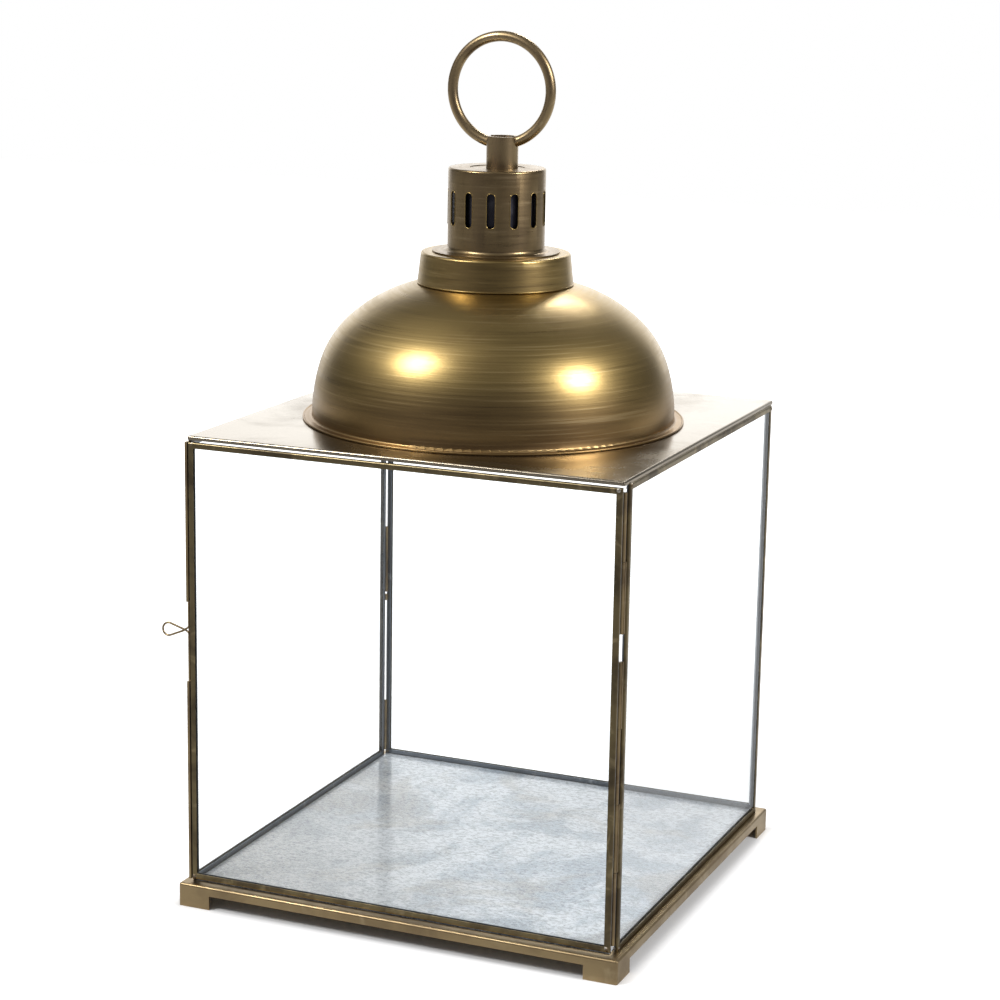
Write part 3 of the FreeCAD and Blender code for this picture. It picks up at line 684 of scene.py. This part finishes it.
class GeometryTree:
    """A Geometry Nodes tree with named inputs."""

    def __init__(self, name: str) -> None:
        """Start a tree with a geometry output."""
        self.tree = bpy.data.node_groups.new(name, "GeometryNodeTree")
        self.tree.interface.new_socket("Geometry", in_out="INPUT", socket_type="NodeSocketGeometry")
        self.tree.interface.new_socket("Geometry", in_out="OUTPUT", socket_type="NodeSocketGeometry")
        self.source = self.tree.nodes.new("NodeGroupInput")
        self.target = self.tree.nodes.new("NodeGroupOutput")
        self.keys: dict[str, str] = {}

    def size(self, name: str, kind: str) -> bpy.types.NodeSocket:
        """Add a named input.

        Args:
            name: the input's name.
            kind: Float, Int, Material or Vector.

        Returns:
            The socket inside the tree.
        """
        item = self.tree.interface.new_socket(name, in_out="INPUT", socket_type=f"NodeSocket{kind}")
        self.keys[name] = item.identifier
        return self.source.outputs[name]

    def add(self, kind: str, settings: dict[str, Any], sockets: dict[Any, Any]) -> bpy.types.Node:
        """Add a node, its settings first and then the values or links of its sockets."""
        node = self.tree.nodes.new(kind)
        for key, value in settings.items():
            setattr(node, key, value)
        for key, value in sockets.items():
            if isinstance(key, int):
                socket = node.inputs[key]
            else:
                socket = next(s for s in node.inputs if s.name == key and s.enabled)
            if isinstance(value, bpy.types.NodeSocket):
                self.tree.links.new(value, socket)
            else:
                socket.default_value = value
        return node

    def finish(self, geometry: bpy.types.NodeSocket, material: bpy.types.NodeSocket) -> None:
        """End the tree in Realize Instances and Set Material."""
        real = self.add("GeometryNodeRealizeInstances", {}, {"Geometry": geometry})
        shown = self.add(
            "GeometryNodeSetMaterial", {},
            {"Geometry": real.outputs["Geometry"], "Material": material},
        )
        self.tree.links.new(shown.outputs["Geometry"], self.target.inputs["Geometry"])

    def made(self, name: str, start: bpy.types.Mesh, sizes: dict[str, Any]) -> bpy.types.Object:
        """Run the tree on a mesh and keep the result as a plain mesh.

        Args:
            name: name of the piece.
            start: the mesh that the tree is run on.
            sizes: value of each named input.

        Returns:
            The finished object, at the origin, with no modifier.
        """
        holder = new_object(name + "_points", start)
        modifier = holder.modifiers.new("rule", "NODES")
        modifier.node_group = self.tree
        for key, value in sizes.items():
            modifier[self.keys[key]] = value
        graph = bpy.context.evaluated_depsgraph_get()
        mesh = bpy.data.meshes.new_from_object(holder.evaluated_get(graph))
        holder.modifiers.remove(modifier)
        bpy.data.objects.remove(holder)
        mesh.name = name
        return new_object(name, mesh)


def points_mesh(name: str, points: Iterable[Vector]) -> bpy.types.Mesh:
    """Mesh of loose points."""
    mesh = bpy.data.meshes.new(name)
    mesh.from_pydata([tuple(p) for p in points], [], [])
    return mesh


# ---- the lantern ----


@dataclass
class Finishes:
    """Every material of the lantern, built once."""

    brass: bpy.types.Material = field(default_factory=lambda: AgedBrass().material())
    strip: bpy.types.Material = field(default_factory=lambda: StripBrass().material())
    # lit copy of the strip brass for the back-right stile: paler inner faces, a painted reflection of
    # the white surroundings
    painted_lit_strip: bpy.types.Material = field(
        default_factory=lambda: StripBrass(name="painted_lit_strip", inner_reflection_grey=(0.74, 0.77, 0.80)).material()
    )
    roof: bpy.types.Material = field(
        default_factory=lambda: AgedBrass(
            name="roof_brass", metal=(0.285, 0.245, 0.185), rubbed=(0.34, 0.295, 0.225),
            roughness=0.2, patch_scale=14.0, patch_share=0.08,
        ).material()
    )
    skirt: bpy.types.Material = field(
        default_factory=lambda: AgedBrass(
            name="skirt_brass", patch_scale=22.0, patch_share=0.4,
        ).material()
    )
    spun: bpy.types.Material = field(default_factory=lambda: SpunBrass().material())
    chimney: bpy.types.Material = field(
        default_factory=lambda: SpunBrass(
            name="chimney_brass", metal=(0.255, 0.185, 0.095), pale_ring=(0.46, 0.36, 0.22),
        ).material()
    )
    glass: bpy.types.Material = field(default_factory=lambda: ClearGlass().material())
    zinc: bpy.types.Material = field(default_factory=lambda: PatinatedZinc().material())
    solder: bpy.types.Material = field(default_factory=lambda: Solder().material())
    wire: bpy.types.Material = field(default_factory=lambda: DarkMetal().material())
    # very dark baffle sheet behind the chimney's slots: painted shade, standing in for the shade
    # inside the chimney
    painted_shade_sheet: bpy.types.Material = field(
        default_factory=lambda: DarkMetal(
            name="blackened_sheet", metal=(0.05, 0.05, 0.065), rubbed=(0.1, 0.1, 0.12),
            wear_scale=60.0, roughness=0.5,
        ).material()
    )


@dataclass
class Dressing:
    """Copies of the CAD nodes with smooth round faces and their finishes."""

    finishes: Finishes

    def body_of(self, node: str) -> Body:
        """Body that a node rides on."""
        return Body.DOOR if node.startswith("door_") else Body.LANTERN

    def finish_of(self, node: str) -> tuple[bpy.types.Material, Slot]:
        """Material and record slot of a node."""
        if node.endswith("_glass"):
            return self.finishes.glass, Slot.CLEAR_GLASS
        if node.endswith("_hinge_pin"):
            return self.finishes.wire, Slot.PIN
        if node == "floor_plate":
            return self.finishes.zinc, Slot.ZINC
        # the baffle's very dark colour is painted shade inside the chimney
        if node == "chimney_baffle":
            return self.finishes.painted_shade_sheet, Slot.BLACKENED
        # the back-right stile gets the lit copy, with paler painted reflection on its inner faces
        if node == "back_right_stile":
            return self.finishes.painted_lit_strip, Slot.AGED_BRASS
        if node.endswith(("_rail", "_stile")):
            return self.finishes.strip, Slot.AGED_BRASS
        if node in ("dome", "neck_collar"):
            return self.finishes.spun, Slot.SPUN_BRASS
        if node == "vent_chimney":
            return self.finishes.chimney, Slot.SPUN_BRASS
        if node == "roof_plate":
            return self.finishes.roof, Slot.AGED_BRASS
        if node == "base_plinth":
            return self.finishes.skirt, Slot.AGED_BRASS
        return self.finishes.brass, Slot.AGED_BRASS

    def build(self) -> list[bpy.types.Object]:
        """Dress every node.

        Returns:
            The pieces made.
        """
        pieces = []
        for node in sorted(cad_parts):
            material, slot = self.finish_of(node)
            piece = merged_copy(node, node + "_finished")
            paint(piece, material)
            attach(piece, self.body_of(node).value)
            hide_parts(node)
            pieces.append(piece)
        return pieces


@dataclass
class SolderJoints:
    """Blobs of solder where the strips meet: one mesh for each body."""

    finishes: Finishes
    blob_radius: float = 0.0021
    ripple: float = 0.0005
    ripple_scale: float = 900.0
    subdivisions: int = 4
    smallest: tuple[float, float, float] = (0.55, 0.6, 0.55)
    largest: tuple[float, float, float] = (1.0, 1.2, 0.95)
    full_turn: float = 6.28
    seed: int = 11
    inset: float = 0.0022

    def tree(self) -> GeometryTree:
        """Tree that sets a rippled blob on every point, each turned and sized at random."""
        rule = GeometryTree("solder_blobs")
        radius = rule.size("Blob Radius", "Float")
        ripple = rule.size("Ripple", "Float")
        seed = rule.size("Seed", "Int")
        metal = rule.size("Solder", "Material")
        blob = rule.add(
            "GeometryNodeMeshIcoSphere", {}, {"Radius": radius, "Subdivisions": self.subdivisions}
        )
        place = rule.add("GeometryNodeInputPosition", {}, {})
        wave = rule.add(
            "ShaderNodeTexNoise", {"noise_dimensions": "3D"},
            {"Vector": place.outputs["Position"], "Scale": self.ripple_scale, "Detail": 1.0},
        )
        lift = rule.add(
            "ShaderNodeMath", {"operation": "MULTIPLY"}, {0: wave.outputs["Fac"], 1: ripple}
        )
        normal = rule.add("GeometryNodeInputNormal", {}, {})
        shift = rule.add(
            "ShaderNodeVectorMath", {"operation": "SCALE"},
            {0: normal.outputs["Normal"], "Scale": lift.outputs["Value"]},
        )
        uneven = rule.add(
            "GeometryNodeSetPosition", {},
            {"Geometry": blob.outputs["Mesh"], "Offset": shift.outputs["Vector"]},
        )
        rounded = rule.add("GeometryNodeSetShadeSmooth", {}, {"Geometry": uneven.outputs["Geometry"]})
        turn = rule.add(
            "FunctionNodeRandomValue", {"data_type": "FLOAT_VECTOR"},
            {"Min": (0.0, 0.0, 0.0), "Max": (self.full_turn,) * 3, "Seed": seed},
        )
        grow = rule.add(
            "FunctionNodeRandomValue", {"data_type": "FLOAT_VECTOR"},
            {"Min": self.smallest, "Max": self.largest, "Seed": seed},
        )
        spread = rule.add(
            "GeometryNodeInstanceOnPoints", {},
            {
                "Points": rule.source.outputs["Geometry"],
                "Instance": rounded.outputs["Geometry"],
                "Rotation": turn.outputs["Value"],
                "Scale": grow.outputs["Value"],
            },
        )
        rule.finish(spread.outputs["Instances"], metal)
        return rule

    def corners(self, wall: str) -> list[Vector]:
        """Places of the solder in a wall's four mitred corners."""
        rails = (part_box(wall + "_bottom_rail"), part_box(wall + "_top_rail"))
        across = 0 if wall in ("door", "back") else 1
        places = []
        for low, high in rails:
            z = (low.z + high.z) / 2
            for side, sign in ((low, 1), (high, -1)):
                spot = (low + high) / 2
                spot[across] = side[across] + sign * self.inset
                spot.z = z
                places.append(spot)
        return places

    def build(self) -> list[bpy.types.Object]:
        """Build the blobs of the door and of the lantern.

        Returns:
            The pieces made.
        """
        rule = self.tree()
        groups = {
            Body.DOOR: self.corners("door"),
            Body.LANTERN: [p for wall in ("right", "left", "back") for p in self.corners(wall)],
        }
        pieces = []
        for body, places in groups.items():
            piece = rule.made(
                f"{body.value}_solder",
                points_mesh(f"{body.value}_solder_points", places),
                {
                    "Blob Radius": self.blob_radius,
                    "Ripple": self.ripple,
                    "Seed": self.seed,
                    "Solder": self.finishes.solder,
                },
            )
            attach(piece, body.value)
            pieces.append(piece)
        return pieces


@dataclass
class SlotRims:
    """Pressed rims round the chimney's slots: a small bead that follows each slot's outline."""

    finishes: Finishes
    count: int = 13
    start_degrees: float = -73.8
    width: float = 0.0055
    height: float = 0.0222
    rise: float = 0.0176
    chimney_radius: float = 0.031
    bead_radius: float = 0.00028
    bead_sides: int = 10
    corner_points: int = 9
    corner_share: float = 0.498

    def tree(self) -> GeometryTree:
        """Tree that bends a beaded slot outline round the chimney and repeats it."""
        rule = GeometryTree("slot_rims")
        count = rule.size("Slot Count", "Int")
        start = rule.size("Start Angle", "Float")
        width = rule.size("Slot Width", "Float")
        height = rule.size("Slot Height", "Float")
        radius = rule.size("Chimney Radius", "Float")
        bead = rule.size("Bead Radius", "Float")
        metal = rule.size("Brass", "Material")
        half = rule.add(
            "ShaderNodeMath", {"operation": "MULTIPLY"}, {0: width, 1: self.corner_share}
        )
        outline = rule.add(
            "GeometryNodeCurvePrimitiveQuadrilateral", {"mode": "RECTANGLE"},
            {"Width": width, "Height": height},
        )
        rounded = rule.add(
            "GeometryNodeFilletCurve", {"mode": "POLY"},
            {
                "Curve": outline.outputs["Curve"],
                "Radius": half.outputs["Value"],
                "Count": self.corner_points,
                "Limit Radius": True,
            },
        )
        profile = rule.add(
            "GeometryNodeCurvePrimitiveCircle", {"mode": "RADIUS"},
            {"Resolution": self.bead_sides, "Radius": bead},
        )
        swept = rule.add(
            "GeometryNodeCurveToMesh", {},
            {"Curve": rounded.outputs["Curve"], "Profile Curve": profile.outputs["Curve"]},
        )
        place = rule.add("GeometryNodeInputPosition", {}, {})
        parts = rule.add("ShaderNodeSeparateXYZ", {}, {"Vector": place.outputs["Position"]})
        out = rule.add("ShaderNodeMath", {"operation": "ADD"}, {0: radius, 1: parts.outputs["Z"]})
        turn = rule.add(
            "ShaderNodeMath", {"operation": "DIVIDE"}, {0: parts.outputs["X"], 1: radius}
        )
        cosine = rule.add("ShaderNodeMath", {"operation": "COSINE"}, {0: turn.outputs["Value"]})
        sine = rule.add("ShaderNodeMath", {"operation": "SINE"}, {0: turn.outputs["Value"]})
        bent_x, bent_y = (
            rule.add(
                "ShaderNodeMath", {"operation": "MULTIPLY"},
                {0: out.outputs["Value"], 1: wave.outputs["Value"]},
            )
            for wave in (cosine, sine)
        )
        bent = rule.add(
            "ShaderNodeCombineXYZ", {},
            {"X": bent_x.outputs["Value"], "Y": bent_y.outputs["Value"], "Z": parts.outputs["Y"]},
        )
        wrapped = rule.add(
            "GeometryNodeSetPosition", {},
            {"Geometry": swept.outputs["Mesh"], "Position": bent.outputs["Vector"]},
        )
        soft = rule.add("GeometryNodeSetShadeSmooth", {}, {"Geometry": wrapped.outputs["Geometry"]})
        copies = rule.add(
            "GeometryNodeDuplicateElements", {"domain": "POINT"},
            {"Geometry": rule.source.outputs["Geometry"], "Amount": count},
        )
        step = rule.add("ShaderNodeMath", {"operation": "DIVIDE"}, {0: math.tau, 1: count})
        angle = rule.add(
            "ShaderNodeMath", {"operation": "MULTIPLY_ADD"},
            {0: copies.outputs["Duplicate Index"], 1: step.outputs["Value"], 2: start},
        )
        spin = rule.add("ShaderNodeCombineXYZ", {}, {"Z": angle.outputs["Value"]})
        spread = rule.add(
            "GeometryNodeInstanceOnPoints", {},
            {
                "Points": copies.outputs["Geometry"],
                "Instance": soft.outputs["Geometry"],
                "Rotation": spin.outputs["Vector"],
            },
        )
        rule.finish(spread.outputs["Instances"], metal)
        return rule

    def build(self) -> list[bpy.types.Object]:
        """Build the rims as one piece."""
        low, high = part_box("vent_chimney")
        centre = Vector((0.0, 0.0, low.z + self.rise + self.height / 2))
        piece = self.tree().made(
            "chimney_slot_rims",
            points_mesh("chimney_slot_rims_point", [centre]),
            {
                "Slot Count": self.count,
                "Start Angle": math.radians(self.start_degrees),
                "Slot Width": self.width,
                "Slot Height": self.height,
                "Chimney Radius": self.chimney_radius,
                "Bead Radius": self.bead_radius,
                "Brass": self.finishes.spun,
            },
        )
        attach(piece, Body.LANTERN.value)
        return [piece]


# ---- studio ----


@dataclass
class Camera:
    """The photograph's view, as distances in metres and angles in degrees."""

    azimuth: float = 22.783
    elevation: float = 12.835
    roll: float = 0.986
    distance: float = 1.67397
    aim_height: float = 0.252016
    aim_aside: float = 0.0053327
    focal_per_width: float = 2.57143
    sensor: float = 36.0
    clip_end: float = 50.0

    def direction(self) -> Vector:
        """From the lantern towards the camera."""
        turn = math.radians(self.azimuth)
        rise = math.radians(self.elevation)
        level = math.cos(rise)
        return Vector((math.sin(turn) * level, -math.cos(turn) * level, math.sin(rise)))

    def build(self) -> bpy.types.Object:
        """Make the camera and set it as the scene's."""
        turn = math.radians(self.azimuth)
        back = self.direction()
        level = Vector((0, 0, 1)).cross(back).normalized()
        upright = back.cross(level)
        lean = math.radians(self.roll)
        right = level * math.cos(lean) + upright * math.sin(lean)
        above = upright * math.cos(lean) - level * math.sin(lean)
        aim = Vector((math.cos(turn), math.sin(turn), 0)) * self.aim_aside
        aim.z = self.aim_height
        data = bpy.data.cameras.new("camera")
        data.sensor_width = self.sensor
        data.lens = self.focal_per_width * self.sensor
        data.clip_end = self.clip_end
        made = bpy.data.objects.new("camera", data)
        bpy.context.scene.collection.objects.link(made)
        rotation = Matrix((right, above, back)).transposed()
        made.matrix_world = Matrix.Translation(aim + back * self.distance) @ rotation.to_4x4()
        bpy.context.scene.camera = made
        return made


@dataclass(frozen=True)
class Heading:
    """Degrees to the right of the camera's side, and degrees of height."""

    aside: float
    elevation: float

    def direction(self, azimuth: float) -> Vector:
        """Unit vector that way, with the camera's azimuth given in degrees."""
        turn = math.radians(self.aside + azimuth - 90.0)
        rise = math.radians(self.elevation)
        level = math.cos(rise)
        return Vector((math.cos(turn) * level, math.sin(turn) * level, math.sin(rise)))


@dataclass(frozen=True)
class Lobe:
    """A soft bright patch of the surroundings, with its half width in degrees."""

    toward: Heading
    spread: float
    level: float


@dataclass(frozen=True)
class Lamp:
    """A rectangular soft lamp."""

    name: str
    toward: Heading
    watts: float
    width: float
    height: float


LOBES = (Lobe(Heading(-84.0, 52.0), 40.0, 0.45), Lobe(Heading(64.0, 26.0), 36.0, 0.3))
LAMPS = (
    Lamp("left_softbox", Heading(-64.0, 43.0), watts=25.0, width=0.5, height=0.55),
    Lamp("right_softbox", Heading(62.0, 30.0), watts=26.0, width=0.5, height=0.5),
    Lamp("rim_softbox", Heading(163.0, 40.0), watts=10.0, width=0.5, height=0.3),
)


@dataclass
class Studio:
    """Floor, lamps and surroundings."""

    azimuth: float
    floor_half: float = 4.0
    ambient: float = 0.3
    dim: float = 0.03
    from_above: float = 0.2
    from_sides: float = 0.08
    backlight: float = 2.0
    cool_front: Colour = (1.0, 0.92, 1.3)
    lamp_distance: float = 2.0

    def floor(self) -> bpy.types.Object:
        """White floor with the world behind it."""
        half = self.floor_half
        corners = [(-half, -half, 0), (half, -half, 0), (half, half, 0), (-half, half, 0)]
        mesh = bpy.data.meshes.new("studio_floor")
        mesh.from_pydata(corners, [], [(0, 1, 2, 3)])
        piece = new_object("studio_floor", mesh)
        paint(piece, StudioFloor(self.azimuth).material())
        return piece

    def lamp(self, lamp: Lamp) -> bpy.types.Object:
        """One soft lamp, aimed at the dome."""
        data = bpy.data.lights.new(lamp.name, "AREA")
        data.shape = "RECTANGLE"
        data.size, data.size_y = lamp.width, lamp.height
        data.energy = lamp.watts
        made = bpy.data.objects.new(lamp.name, data)
        bpy.context.scene.collection.objects.link(made)
        direction = lamp.toward.direction(self.azimuth)
        turned = direction.to_track_quat("Z", "Y").to_matrix().to_4x4()
        place = Matrix.Translation(middle("dome") + direction * self.lamp_distance)
        made.matrix_world = place @ turned
        return made

    def surroundings(self) -> None:
        """White seen directly and through glass; around the metal, white behind and dim in front."""
        world = bpy.data.worlds.new("studio")
        bpy.context.scene.world = world
        world.use_nodes = True
        graph = Graph(world.node_tree)
        paths = graph.add("ShaderNodeLightPath", {}, {})
        seen = paths["Is Camera Ray"].most(paths["Is Transmission Ray"])
        toward = graph.add("ShaderNodeTexCoord", {}, {})["Generated"]
        x, y, z = graph.axes(toward)
        turn = math.radians(self.azimuth)
        front = x * math.sin(turn) - y * math.cos(turn)
        side = abs(x * math.cos(turn) + y * math.sin(turn))
        shine = self.dim + z.ramp(-0.1, 0.8) * self.from_above + side.ramp(0.2, 0.9) * self.from_sides
        shine = shine + front.fall(-0.94, -0.72) * z.fall(0.24, 0.6) * self.backlight
        for lobe in LOBES:
            patch = lobe.toward.direction(self.azimuth)
            nearness = x * patch.x + y * patch.y + z * patch.z
            shine = shine + nearness.ramp(math.cos(math.radians(lobe.spread)), 1.0) * lobe.level
        glossy = paths["Is Glossy Ray"]
        lit = shine * glossy + (1.0 - glossy) * self.ambient
        level = lit * (1.0 - seen) + seen
        cool = front.ramp(-0.2, 0.7) * z.fall(0.1, 0.6) * glossy * (1.0 - seen)
        tone = graph.blend(cool, (1.0, 1.0, 1.0), self.cool_front)
        light = graph.add("ShaderNodeBackground", {}, {"Color": tone, "Strength": level})
        graph.add("ShaderNodeOutputWorld", {}, {"Surface": light["Background"]})

    def build(self) -> None:
        """Set up the studio."""
        bpy.context.scene.view_settings.view_transform = "Standard"
        self.floor()
        for lamp in LAMPS:
            self.lamp(lamp)
        self.surroundings()


def main() -> None:
    """Build the lantern and its studio, and log each piece."""
    logging.basicConfig(level=logging.INFO, format="%(message)s")
    finishes = Finishes()
    pieces = []
    for part in (Dressing(finishes), SlotRims(finishes), SolderJoints(finishes)):
        pieces += part.build()
    for piece in pieces:
        LOG.info("%s: %d faces", piece.name, len(piece.data.polygons))
    camera = Camera()
    camera.build()
    Studio(camera.azimuth).build()


if __name__ == "__main__":
    main()
